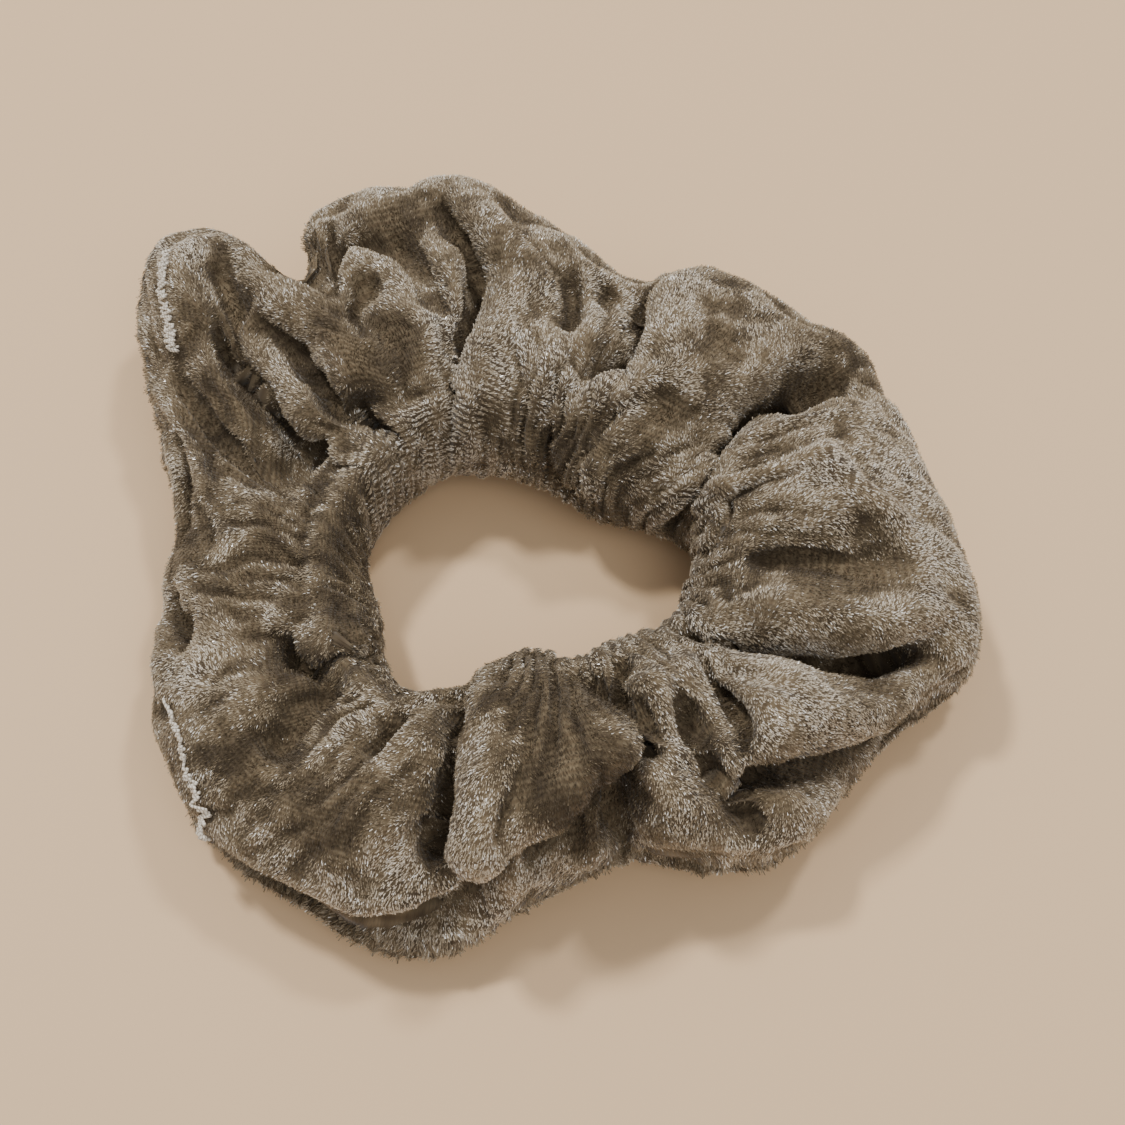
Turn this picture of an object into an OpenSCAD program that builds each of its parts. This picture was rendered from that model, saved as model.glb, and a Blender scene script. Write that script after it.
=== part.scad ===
// Gathered velvet hair tie: a tube of velvet drawn up on an elastic loop. Millimetres, +Z up, resting on z = 0.

/* [Ring] */
// Outer diameter of the ring in the dips between its lobes
ring_d = 84; // [76:1:100]
// Diameter of the hole that the hair goes through
opening_d = 43; // [36:1:48]
// Height of the gathered tube in the dips between its lobes
tube_h = 24; // [20:1:30]

/* [Velvet] */
// Thickness of the velvet with its pile
velvet_t = 1.8; // [1.2:0.1:2.4]
// Number of small pleats that the elastic draws up around the hole
pleats = 22; // [12:1:32]
// Depth of those pleats
pleat_depth = 1; // [0:0.1:1.6]

/* [Elastic] */
// Width of the flat elastic band
elastic_w = 6; // [4:0.5:8]
// Thickness of the band
elastic_t = 1.1; // [0.8:0.1:1.4]
// Angle over which the band's two ends lie on each other
overlap_angle = 20; // [12:1:30]

/* [Thread] */
// Diameter of the sewing thread
thread_d = 0.4; // [0.3:0.05:0.6]
// Pitch of the closing stitches
stitch_pitch = 2.4; // [1.8:0.1:3.5]

/* [Hidden] */

velvet_colour = "#75695a";
elastic_colour = "#2e2a27";
seam_colour = "#5a4f43";
white_colour = "#e9e4da";

// The larger lobes: [angle, half width in degrees, outwards, upwards]
lobes = [[142, 18, 32, -2], [113, 26, 25, 4], [90, 16, 10, 2], [70, 14, 10, 3], [50, 20, 15, 4], [26, 20, 18, 2],
         [2, 20, 19, 1], [-16, 16, 14, 0], [-38, 18, 9, 2], [-54, 12, 6, 3], [-106, 18, 10, 1], [-130, 20, 12, -1],
         [-154, 20, 13, -2], [180, 18, 11, -1], [163, 12, 8, -1]];

quarter = 90;
ring_step = 3.75;
section_sides = 24;
sink = 0.8; // how far the round underside is pressed flat on the table
elastic_gap = 1.2; // from the velvet's inner face to the band
thread_gap = 1; // from the velvet's inner face to the hidden threads
cross_seam_at = 200;
join_at = 270;

function add(v) = v * [for (x = v) 1];
function turned(a) = a - 360 * round(a / 360);
function bump(a, half) = abs(turned(a)) < half ? pow(cos(90 * turned(a) / half), 2) : 0;
function lobe_out(u) = add([for (l = lobes) l[2] * bump(u - l[0], l[1])]);
function lobe_up(u) = add([for (l = lobes) l[3] * bump(u - l[0], l[1])]);
function rounded(x, p) = sign(x) * pow(abs(x), p);

// A point of the tube's wall. u goes round the ring, v round the tube from its outer edge over the top,
// and inset is the distance inside the outer face.
function wall(u, v, inset) = let (
    inner_r = opening_d / 2 + inset,
    outer_r = ring_d / 2 + lobe_out(u) - inset,
    height = tube_h + lobe_up(u) + sink - 2 * inset,
    pleat = pleat_depth * cos(pleats * u + 40 * sin(v)) * pow((1 - cos(v)) / 2, 2),
    r = (inner_r + outer_r) / 2 + (outer_r - inner_r) / 2 * rounded(cos(v), 0.9) + pleat,
    z = inset - sink + height / 2 * (1 + rounded(sin(v), 0.8))
) [r * cos(u), r * sin(u), max(z, inset)];

outer_edge = [for (u = [0 : ring_step : 359]) wall(u, 0, 0)];
middle = [for (i = [0, 1]) let (c = [for (p = outer_edge) p[i]]) (max(c) + min(c)) / 2];
elastic_r = opening_d / 2 + velvet_t + pleat_depth + elastic_gap;
elastic_z = tube_h / 2;
lap = 0.5; // radial gap between the band's two ends, filled by the stitching

// Puts the middle of the ring's box over the origin.
module centred() translate([-middle[0], -middle[1], 0]) children();

// Rings of points joined into a solid. A closed loop joins its last ring to its first, an open one has flat ends.
module swept(rings, closed) {
    n = len(rings);
    m = len(rings[0]);
    spans = closed ? n : n - 1;
    sides = [for (i = [0 : spans - 1]) for (j = [0 : m - 1]) let (
        a = i * m + j,
        b = i * m + (j + 1) % m,
        c = ((i + 1) % n) * m + (j + 1) % m,
        d = ((i + 1) % n) * m + j
    ) each [[a, b, c], [a, c, d]]];
    ends = closed ? [] : [[for (j = [m - 1 : -1 : 0]) j], [for (j = [0 : m - 1]) (n - 1) * m + j]];
    centred() polyhedron([for (r = rings) each r], concat(sides, ends), convexity = 8);
}

// A quarter of the velvet tube: its outer face, its inner face and a flat rim at each end.
module cover(from) {
    n = round(quarter / ring_step) + 1;
    m = section_sides;
    faces_of = [0, velvet_t];
    points = [for (inset = faces_of) for (i = [0 : n - 1]) for (j = [0 : m - 1])
        wall(from + i * ring_step, j * 360 / m, inset)];
    inner = n * m;
    skin = [for (i = [0 : n - 2]) for (j = [0 : m - 1]) let (
        a = i * m + j,
        b = i * m + (j + 1) % m,
        c = a + m,
        d = b + m
    ) each [[a, d, b], [a, c, d], [a + inner, b + inner, d + inner], [a + inner, d + inner, c + inner]]];
    first = [for (j = [0 : m - 1]) let (a = j, b = (j + 1) % m)
        each [[a, b, b + inner], [a, b + inner, a + inner]]];
    last = [for (j = [0 : m - 1]) let (a = (n - 1) * m + j, b = (n - 1) * m + (j + 1) % m)
        each [[a, b + inner, b], [a, a + inner, b + inner]]];
    color(velvet_colour) centred() polyhedron(points, concat(skin, first, last), convexity = 8);
}

// A round cord of six sides along a path of points.
function along(path, i, closed) = let (
    n = len(path),
    before = closed ? path[(i + n - 1) % n] : path[max(i - 1, 0)],
    after = closed ? path[(i + 1) % n] : path[min(i + 1, n - 1)]
) (after - before) / norm(after - before);
module cord(path, d, closed) {
    swept([for (i = [0 : len(path) - 1]) let (
        t = along(path, i, closed),
        guide = abs(t[2]) > 0.9 ? [cos(cross_seam_at), sin(cross_seam_at), 0] : [0, 0, 1],
        side = cross(t, guide) / norm(cross(t, guide)),
        up = cross(side, t)
    ) [for (a = [0 : 60 : 300]) path[i] + d / 2 * (side * cos(a) + up * sin(a))]], closed);
}

module cover_front() cover(225);
module cover_back() cover(45);
module cover_left() cover(135);
module cover_right() cover(315);

// The band's radius grows by its own thickness over the overlap, so that its end lies outside its start.
module elastic() {
    turn = 360 + overlap_angle;
    color(elastic_colour) swept([for (a = [0 : 5 : turn]) let (
        u = join_at - overlap_angle / 2 + a,
        r = elastic_r + (elastic_t + lap) * a / 360
    ) [for (c = [[0, -1], [1, -1], [1, 1], [0, 1]])
        [(r + c[0] * elastic_t) * cos(u), (r + c[0] * elastic_t) * sin(u), elastic_z + c[1] * elastic_w / 2]]], false);
}

// A zigzag of thread between the band's two ends.
module elastic_stitch() {
    steps = 8;
    color(white_colour) cord([for (i = [0 : steps]) let (
        u = join_at + (i / steps - 0.5) * overlap_angle * 0.7,
        r = elastic_r + elastic_t + lap / 2 + (elastic_t + lap) * (i / steps - 0.5) * overlap_angle / 360
    ) [r * cos(u), r * sin(u), elastic_z + (i % 2 - 0.5) * elastic_w * 0.6]], thread_d, false);
}

module long_seam_thread() color(seam_colour)
    cord([for (u = [0 : 3 : 359]) wall(u, 0, velvet_t + thread_gap)], thread_d, true);

module cross_seam_thread() color(seam_colour)
    cord([for (v = [20 : 10 : 340]) wall(cross_seam_at, v, velvet_t + thread_gap / 2)], thread_d, false);

// A running stitch that closes the last stretch of the long seam: over the velvet, then under its surface.
module closing_run(from, to) {
    across = 14; // degrees above the tube's outer edge
    r = norm([wall((from + to) / 2, across, 0)[0], wall((from + to) / 2, across, 0)[1]]);
    count = floor((to - from) / 360 * 2 * PI * r / stitch_pitch);
    cord([for (i = [0 : count - 1]) for (s = [[0, -1], [0.12, 1], [0.6, 1], [0.72, -1]])
        wall(from + (to - from) * (i + s[0]) / count, across, -s[1] * thread_d * 0.6)], thread_d, false);
}
module closing_stitch() color(white_colour) {
    closing_run(138, 148);
    closing_run(204, 221);
}

cover_front();
cover_back();
cover_left();
cover_right();
elastic();
elastic_stitch();
long_seam_thread();
cross_seam_thread();
closing_stitch();
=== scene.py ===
import math
import bpy
import numpy as np
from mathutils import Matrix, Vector


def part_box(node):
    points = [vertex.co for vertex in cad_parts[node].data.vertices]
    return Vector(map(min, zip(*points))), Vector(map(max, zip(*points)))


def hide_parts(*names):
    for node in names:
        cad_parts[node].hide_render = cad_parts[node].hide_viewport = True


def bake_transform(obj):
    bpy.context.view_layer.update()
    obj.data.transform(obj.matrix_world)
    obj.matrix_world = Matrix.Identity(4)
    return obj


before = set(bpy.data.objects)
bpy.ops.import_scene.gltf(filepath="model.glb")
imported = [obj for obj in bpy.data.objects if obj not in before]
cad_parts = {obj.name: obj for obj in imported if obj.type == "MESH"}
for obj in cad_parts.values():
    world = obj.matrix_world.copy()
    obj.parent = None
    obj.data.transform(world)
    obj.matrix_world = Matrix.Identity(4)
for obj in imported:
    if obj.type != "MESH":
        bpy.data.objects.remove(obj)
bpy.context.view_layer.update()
mm = 0.001

bandLow, bandHigh = (np.array(corner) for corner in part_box("elastic"))
ringX, ringY, bandZ = (bandLow + bandHigh) / 2  # middle of the hole, and the height of the elastic band
ringMiddle = np.array([ringX, ringY, 0])

view = {
    "elevation": math.radians(60),
    "distance": 218 * mm,
    "target": Vector((ringX + 4.6 * mm, ringY + 4.5 * mm, 10 * mm)),
    "lens": 49.5,
}
cameraData = bpy.data.cameras.new("camera")
cameraData.lens = view["lens"]
cameraData.clip_start = 0.01
camera = bpy.data.objects.new("camera", cameraData)
backward = Vector((0, -math.cos(view["elevation"]), math.sin(view["elevation"])))
camera.location = view["target"] + backward * view["distance"]
camera.rotation_euler = backward.to_track_quat("Z", "Y").to_euler()
bpy.context.collection.objects.link(camera)
bpy.context.scene.camera = camera


def linearColor(hexText):
    parts = [int(hexText[i:i + 2], 16) / 255 for i in (0, 2, 4)]
    return [p / 12.92 if p <= 0.04045 else ((p + 0.055) / 1.055) ** 2.4 for p in parts] + [1.0]


# Adds a node. links gives the output that feeds each input, by the input's name or number. The other
# settings are the node's own, or its inputs'.
def addNode(tree, kind, links=None, **settings):
    node = tree.nodes.new(kind)
    for name, value in settings.items():
        if hasattr(node, name):
            setattr(node, name, value)
        else:
            node.inputs[name.replace("_", " ")].default_value = value
    for socket, source in (links or {}).items():
        tree.links.new(source, node.inputs[socket])
    return node


def newMaterial(name):
    material = bpy.data.materials.new(name)
    material.use_nodes = True
    material.node_tree.nodes.clear()
    return material, material.node_tree


def setRamp(node, stops):
    ramp = node.color_ramp
    while len(ramp.elements) < len(stops):
        ramp.elements.new(0.5)
    for element, (place, hexText) in zip(ramp.elements, stops):
        element.position = place
        element.color = linearColor(hexText)


def meshPiece(name, points, faces, smooth=True):
    mesh = bpy.data.meshes.new(name)
    mesh.from_pydata(points.tolist() if hasattr(points, "tolist") else points, [], faces)
    mesh.update()
    mesh.polygons.foreach_set("use_smooth", [smooth] * len(mesh.polygons))
    piece = bpy.data.objects.new(name, mesh)
    bpy.context.collection.objects.link(piece)
    return piece


def squareSheet(name, half):
    corners = [(-half, -half, 0), (half, -half, 0), (half, half, 0), (-half, half, 0)]
    return meshPiece(name, corners, [(0, 1, 2, 3)])


# Applies each piece's placement to its mesh.
def blendToLoop(piece):
    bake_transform(piece)


def unit(a):
    return a / (np.linalg.norm(a, axis=-1, keepdims=True) + 1e-12)


# Smooth value noise from -1 to 1 at the points p, with lumps of about this size. The large numbers only mix
# each corner's place into a number that looks random.
def lumps(p, size, seed):
    q = p / size + 31.7 * seed
    cell = np.floor(q).astype(np.int64)
    f = q - cell
    f = f * f * (3 - 2 * f)
    total = np.zeros(len(p))
    for corner in np.ndindex(2, 2, 2):
        c = cell + corner
        h = (c[:, 0] * 73856093) ^ (c[:, 1] * 19349663) ^ (c[:, 2] * 83492791) ^ (seed * 668265263)
        h = ((h ^ (h >> 13)) * 1274126177) & 0x7fffffff
        h = ((h ^ (h >> 15)) * 1103515245) & 0x7fffffff
        total += (h / 0x3fffffff - 1) * np.prod(np.where(corner, f, 1 - f), axis=1)
    return total


# The velvet tube. Its points have an angle u round the hole, and an angle v round the tube: 0 is the long
# seam at the outer edge, 90 the top, 180 the hole side, 270 the underside. Lengths are in mm, from the
# middle of the hole.
cover = {
    "cut": (100 * mm, 450 * mm),  # the strip of velvet, with 5 mm seam allowances
    "girth": 90,
    "around": 300,
    "across": 64,
    "roundAcross": 0.9,  # powers of the section's curve: 1 is an ellipse, less is squarer
    "roundUp": 0.75,
    "clearance": 0.5,  # from the knit to the table, filled by the pile
    # angle, then the outer radius
    "outline": [(0, 61), (10, 59), (20, 59), (30, 60), (38, 62), (45, 60), (54, 59), (62, 58), (68, 55),
                (74, 53), (82, 57), (91, 63), (99, 70), (108, 70), (116, 71), (121, 71), (125, 65),
                (128, 73), (131, 77), (136, 79), (143, 73), (149, 65), (155, 59), (163, 53), (170, 50),
                (180, 51), (191, 51), (200, 54), (212, 55), (224, 54), (236, 52), (249, 52), (258, 50),
                (266, 46), (276, 42), (290, 40), (298, 44), (307, 50), (316, 51), (326, 51), (338, 55),
                (347, 61), (354, 62)],
    # angle, then the inner radius where the top hangs over the hole
    "hole": [(0, 22), (9, 24), (18, 25), (28, 22), (38, 19), (48, 16), (58, 14), (70, 16), (82, 18),
             (96, 19), (110, 21), (125, 25), (146, 27), (163, 25), (182, 22), (195, 21), (212, 23),
             (228, 24), (240, 20), (250, 16), (264, 13), (282, 14), (291, 17), (300, 16), (313, 15),
             (322, 16), (332, 19), (346, 21)],
    # angle, then the height of the crest
    "crest": [(0, 23), (20, 24), (38, 23), (55, 27), (75, 25), (92, 26), (110, 28), (125, 25), (140, 24),
              (155, 20), (170, 19), (185, 19), (200, 19), (215, 20), (230, 21), (245, 24), (262, 27),
              (280, 28), (300, 27), (318, 24), (335, 22), (348, 21)],
    # angle, then the height of the outer seam edge
    "edge": [(0, 8), (30, 10), (60, 9), (90, 12), (112, 14), (140, 16), (160, 10), (180, 7), (205, 5),
             (230, 4), (255, 4), (280, 7), (300, 8), (320, 5), (340, 6)],
}


# A smooth closed curve through (angle, value) knots.
def roundTheRing(knots, u):
    a = np.array([k[0] for k in knots], float)
    y = np.array([k[1] for k in knots], float)
    u = np.mod(u - a[0], 360) + a[0]
    n = len(a)
    i = np.searchsorted(a, u, side="right") - 1
    x0, x1 = a[i], np.where(i + 1 < n, a[(i + 1) % n], a[0] + 360)
    t = (u - x0) / (x1 - x0)
    p0, p1, p2, p3 = (y[(i + k) % n] for k in (-1, 0, 1, 2))
    return p1 + 0.5 * t * (p2 - p0 + t * (2 * p0 - 5 * p1 + 4 * p2 - p3 + t * (3 * (p1 - p2) + p3 - p0)))


def coverPoints(u, v):
    outer, hole = roundTheRing(cover["outline"], u), roundTheRing(cover["hole"], u)
    crest, edge = roundTheRing(cover["crest"], u), roundTheRing(cover["edge"], u)
    w = np.radians(v)
    s = (1 - np.sign(np.cos(w)) * np.abs(np.cos(w)) ** cover["roundAcross"]) / 2
    mid = edge * (1 - s) + crest * 0.5 * s
    dome = np.abs(np.sin(w)) ** cover["roundUp"]
    r = outer + (hole - outer) * s
    z = np.where(np.sin(w) >= 0, mid + (crest - mid) * dome, mid * (1 - dome))
    a = np.radians(u)
    return np.stack([r * np.cos(a), r * np.sin(a), z], -1)


# Creases of the gathered cloth. at: points (u, v) along each, from the hole outwards where it runs that way,
# which puts greater u on its + side. deep: its depth, below 0 for a ridge. wide: how far its - and + walls
# reach. lip: how high they roll up. over: how far the + side folds over it, or below 0 the - side.
creases = [
    {"at": [(147, 128), (145, 116), (141, 96), (140, 84), (142, 72)], "deep": 9, "wide": (2.5, 6),
     "lip": (2.2, 0.5), "over": -4},
    {"at": [(136, 150), (134, 134), (132, 110), (131, 98), (133, 86)], "deep": 6, "wide": (2, 4),
     "lip": (2, 0.5), "over": -3},
    {"at": [(136, 164), (133, 148), (128, 136)], "deep": 5, "wide": (2, 2), "lip": (1, 1)},
    {"at": [(127, 74), (125, 50), (125, 20), (125, -20)], "deep": 4.5, "wide": (3, 2), "lip": (0, 0)},
    {"at": [(126, 76), (122, 62), (118, 40)], "deep": 2.5, "wide": (2, 2), "lip": (0.5, 0.8)},
    {"at": [(121, 76), (120, 64), (117, 62), (114, 74)], "deep": 3, "wide": (1.5, 1.5),
     "lip": (0.8, 0.8)},
    {"at": [(117, 86), (121, 90), (124, 86)], "deep": 3.5, "wide": (1.5, 1.5), "lip": (0.8, 0.8)},
    {"at": [(109, 112), (108, 96), (111, 76), (116, 58)], "deep": 2, "wide": (2, 2), "lip": (0.8, 0.8)},
    {"at": [(118, 168), (114, 152), (108, 134), (103, 118), (98, 100), (96, 86), (100, 72), (103, 56)],
     "deep": 7, "wide": (1.8, 3), "lip": (2, 0.5), "over": -2.5},
    {"at": [(112, 104), (111, 80), (111, 48)], "deep": 3, "wide": (4, 4), "lip": (0.5, 0.5)},
    {"at": [(82, 100), (81, 86), (82, 66)], "deep": 3, "wide": (1.5, 2), "lip": (0.6, 0.6)},
    {"at": [(76, 76), (74, 56)], "deep": 2, "wide": (1.5, 1.5), "lip": (0.6, 0.6)},
    {"at": [(70, 72), (69, 50)], "deep": 1.5, "wide": (1.5, 1.5), "lip": (0.4, 0.4)},
    {"at": [(73, 112), (65, 108), (59, 101), (60, 90), (63, 78), (66, 62), (68, 40)], "deep": 6.5,
     "wide": (2, 4), "lip": (2, 0.5), "over": -3},
    {"at": [(60, 164), (56, 146), (57, 130)], "deep": 4, "wide": (2, 3), "lip": (1, 0.5), "over": -1.5},
    {"at": [(66, 184), (74, 180), (79, 166), (81, 148)], "deep": 3.5, "wide": (2, 3), "lip": (1, 0.5),
     "over": -2},
    {"at": [(90, 140), (83, 118), (77, 98), (72, 88)], "deep": -2, "wide": (4, 4), "lip": (0, 0)},
    {"at": [(25, 176), (28, 152), (32, 132), (36, 116), (38, 102), (37, 90), (35, 76)], "deep": 9,
     "wide": (2.2, 2), "lip": (1.5, 2), "over": 3.5},
    {"at": [(36, 86), (35, 72), (34, 54), (34, 40)], "deep": 6, "wide": (2.2, 3), "lip": (0.5, 1)},
    {"at": [(27, 188), (26, 172)], "deep": 8, "wide": (1.5, 1.5), "lip": (0.5, 0.5)},
    {"at": [(6, 162), (11, 150), (17, 143)], "deep": 5, "wide": (1.5, 2), "lip": (0.5, 1), "over": 1.5},
    {"at": [(-3, 128), (-3, 104), (-2, 84), (0, 66)], "deep": 3.5, "wide": (3, 4), "lip": (1, 1)},
    {"at": [(24, 146), (20, 126), (19, 104), (16, 86)], "deep": -1.8, "wide": (3, 3), "lip": (0, 0)},
    {"at": [(20, 92), (12, 88), (6, 76), (2, 62)], "deep": -1.8, "wide": (3, 3), "lip": (0, 0)},
    {"at": [(-23, 146), (-20, 122), (-18, 100), (-17, 80), (-16, 62), (-15, 48)], "deep": 11,
     "wide": (3.4, 2), "lip": (0.8, 2), "over": 2.5},
    {"at": [(-33, 112), (-34, 100), (-38, 90), (-43, 80), (-49, 72)], "deep": 5, "wide": (3, 3),
     "lip": (0.5, 1.5), "over": 2},
    {"at": [(-46, 100), (-50, 88), (-52, 78), (-52, 64)], "deep": 6, "wide": (2.5, 2.5), "lip": (1, 1)},
    {"at": [(-54, 64), (-48, 60), (-42, 54), (-36, 42), (-30, 32), (-24, 22), (-17, 16)], "deep": 8,
     "wide": (4, 2.5), "lip": (0.8, 2), "over": 3},
    {"at": [(-52, 62), (-53, 48), (-54, 32), (-54, 18)], "deep": 6, "wide": (3, 3), "lip": (1, 1)},
    {"at": [(-63, 78), (-71, 61), (-78, 48), (-84, 38), (-90, 33)], "deep": 6, "wide": (2.5, 4),
     "lip": (2, 0.5), "over": -3},
    {"at": [(-63, 74), (-68, 58), (-70, 38), (-72, 20), (-71, 2)], "deep": 6, "wide": (2, 3),
     "lip": (1, 1.5), "over": 1.5},
    {"at": [(-76, 136), (-66, 124), (-63, 104), (-60, 90), (-62, 80)], "deep": 4, "wide": (3, 3),
     "lip": (1, 1)},
    {"at": [(-53, 140), (-59, 120), (-62, 110)], "deep": 3, "wide": (2, 2), "lip": (0.8, 0.8)},
    {"at": [(-112, 150), (-108, 116), (-105, 92), (-104, 72), (-104, 52), (-102, 38), (-99, 26)],
     "deep": 9, "wide": (4, 2.2), "lip": (0.6, 2.2), "over": 2.2},
    {"at": [(-140, 9), (-128, 7), (-117, 7), (-108, 10), (-100, 13), (-95, 21), (-93, 36)], "deep": 3.4,
     "wide": (1.4, 1.8), "lip": (1.8, 0.8)},
    {"at": [(-154, 160), (-152, 132), (-156, 114), (-160, 104)], "deep": 6, "wide": (2.2, 3.5),
     "lip": (2, 0.5), "over": -2.5},
    {"at": [(-146, 126), (-142, 102), (-140, 88), (-139, 76)], "deep": 3.5, "wide": (3, 3),
     "lip": (1, 1)},
    {"at": [(-125, 124), (-123, 108), (-123, 94)], "deep": 4, "wide": (2, 2), "lip": (1, 1)},
    {"at": [(-177, 30), (-170, 40), (-165, 54)], "deep": 3, "wide": (2, 2), "lip": (1, 1)},
    {"at": [(156, 26), (163, 28), (170, 24), (176, 26)], "deep": 2.5, "wide": (1.5, 2), "lip": (1, 0.8)},
    {"at": [(-176, 142), (-180, 112), (-180, 88), (-179, 62)], "deep": 1.5, "wide": (1.2, 1.2),
     "lip": (0.5, 0.5)},
    {"at": [(144, 138), (152, 114), (157, 92), (156, 70), (153, 48), (152, 30)], "deep": 4.5,
     "wide": (4, 4), "lip": (1, 1)},
    {"at": [(134, 84), (134, 72), (134, 58)], "deep": 4, "wide": (2, 2), "lip": (0.5, 0.5)},
    {"at": [(-16, 16), (-8, 16), (0, 18)], "deep": 1.8, "wide": (1.3, 2), "lip": (1, 0.6)},
]


def smoothPath(points, steps=8):
    p = np.array(points, float)
    p = np.vstack([2 * p[0] - p[1], p, 2 * p[-1] - p[-2]])
    t = np.linspace(0, 1, steps, endpoint=False)[:, None]
    parts = [
        p[i] + 0.5 * t * (p[i + 1] - p[i - 1] + t * (2 * p[i - 1] - 5 * p[i] + 4 * p[i + 1] - p[i + 2]
                          + t * (3 * (p[i] - p[i + 1]) + p[i + 2] - p[i - 1])))
        for i in range(1, len(p) - 2)
    ]
    return np.vstack(parts + [p[-2:-1]])


# What all creases share. A crease fades in and out over a share of its length.
crease = {
    "radius": 38,  # where a degree of u is turned into mm
    "atEnds": 0.2,  # how strong it still is at its ends
    "fadeIn": 0.15,
    "fadeOut": 0.25,
    "fade": 0.7,
    "steep": 1.3,
    "lipAt": 2.1,  # where a wall's lip stands, in reaches of that wall
}


# How far each point (u, v) sinks into the creases, and how far it slides round the ring and round the tube.
def creaseShift(u, v, narrow):
    perU, perV = math.radians(1) * crease["radius"], cover["girth"] / 360  # mm for each degree
    sink, slideU, slideV = np.zeros_like(u), np.zeros_like(u), np.zeros_like(u)
    rows = np.arange(len(u))
    for one in creases:
        path = smoothPath(one["at"])
        start, step = path[:-1], np.diff(path, axis=0)
        sx, sy = step[:, 0] * perU, step[:, 1] * perV
        dx = (np.mod(u[:, None] - start[None, :, 0] + 180, 360) - 180) * perU
        dy = (np.mod(v[:, None] - start[None, :, 1] + 180, 360) - 180) * perV
        along = np.clip((dx * sx + dy * sy) / (sx ** 2 + sy ** 2), 0, 1)
        gapX, gapY = dx - along * sx, dy - along * sy
        gap = np.hypot(gapX, gapY)
        best = gap.argmin(1)
        d = gap[rows, best]
        side = (sx[best] * dy[rows, best] - sy[best] * dx[rows, best] > 0) * 1
        t = (best + along[rows, best]) / len(step)
        fade = np.clip(np.minimum(t / crease["fadeIn"], (1 - t) / crease["fadeOut"]), 0, 1) ** crease["fade"]
        strength = crease["atEnds"] + (1 - crease["atEnds"]) * fade
        q = d / (np.array(one["wide"])[side] * narrow)
        sink += strength * (one["deep"] * np.exp(-q ** crease["steep"])
                            - np.array(one["lip"])[side] * np.exp(-(q - crease["lipAt"]) ** 2))
        over = one.get("over", 0)
        slide = strength * abs(over) * (side == (over > 0)) * q * np.exp(1 - q) / (d + 1e-6)
        slideU -= slide * gapX[rows, best]
        slideV -= slide * gapY[rows, best]
    return sink, slideU, slideV


def frameOf(grid):
    tangentU = unit(np.roll(grid, -1, 0) - np.roll(grid, 1, 0))
    tangentV = unit(np.roll(grid, -1, 1) - np.roll(grid, 1, 1))
    return tangentU, tangentV, unit(np.cross(tangentU, tangentV))


# The elastic band's section with the room that the knit leaves round it: its middle (radius, height) and its
# reach, in mm. The knit is pushed out of it, fully within the first of bandPush and less up to the second,
# both counted in reaches.
halfOverlap = 0.8
bandMiddle = np.array([(bandHigh[0] - bandLow[0]) / 2 / mm - halfOverlap, bandZ / mm])
bandReach = np.array([2.0, 4.6])
bandPush = (1.2, 2.4)


# Each point's place from the middle of the elastic band's section, where the band reaches to 1.
def fromBand(grid):
    r = np.hypot(grid[..., 0], grid[..., 1])
    return (np.stack([r, grid[..., 2]], -1) - bandMiddle) / bandReach


def pressCreases(grid, share, narrow):
    n, m, _ = grid.shape
    u, v = np.meshgrid(np.arange(n) * 360 / n, np.arange(m) * 360 / m, indexing="ij")
    sink, slideU, slideV = (share * s.reshape(n, m, 1) for s in creaseShift(u.ravel(), v.ravel(), narrow))
    q = fromBand(grid)
    away = np.linalg.norm(q, axis=-1, keepdims=True)
    room = np.linalg.norm(q * bandReach, axis=-1, keepdims=True) * (1 - 1 / (away + 1e-6))
    sink = np.minimum(sink, np.maximum(room, 0))
    tangentU, tangentV, normal = frameOf(grid)
    return grid - normal * sink + tangentU * slideU + tangentV * slideV


# One step of Catmull and Clark's subdivision, for a grid that closes on itself both ways.
def finer(grid):
    for axis in (0, 1):
        before, after = np.roll(grid, 1, axis), np.roll(grid, -1, axis)
        both = np.stack([(before + 6 * grid + after) / 8, (grid + after) / 2], axis + 1)
        shape = list(grid.shape)
        shape[axis] *= 2
        grid = both.reshape(shape)
    return grid


# The knit stays round the elastic band and above the table.
def keepClear(grid):
    m = grid.shape[1]
    v = np.arange(m) * 2 * np.pi / m
    q = fromBand(grid)
    out = np.stack([np.cos(v), np.sin(v)], -1)
    near = bandPush[1] - np.linalg.norm(q, axis=-1, keepdims=True)
    near = np.clip(near / (bandPush[1] - bandPush[0]), 0, 1)
    q = q + out * np.maximum(1 - np.sum(q * out, -1, keepdims=True), 0) * near
    size = np.linalg.norm(q, axis=-1, keepdims=True)
    q = np.where(size < 1, q / (size + 1e-6), q) * bandReach + bandMiddle
    scale = q[..., :1] / (np.hypot(grid[..., :1], grid[..., 1:2]) + 1e-6)
    z = np.maximum(q[..., 1:], cover["clearance"])
    return np.concatenate([grid[..., :2] * scale, z], -1)


# How much of each crease is pressed in, and how narrow: once before the gathering, once on the finer grid.
firstPress = {"share": 1, "narrow": 1}
secondPress = {"share": 0.45, "narrow": 0.6}


def startGrid():
    n, m = cover["around"], cover["across"]
    u, v = np.meshgrid(np.arange(n) * 360 / n, np.arange(m) * 360 / m, indexing="ij")
    return keepClear(pressCreases(coverPoints(u, v), **firstPress))


coverGrid = startGrid()
print("cover laid out", coverGrid.shape)

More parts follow.
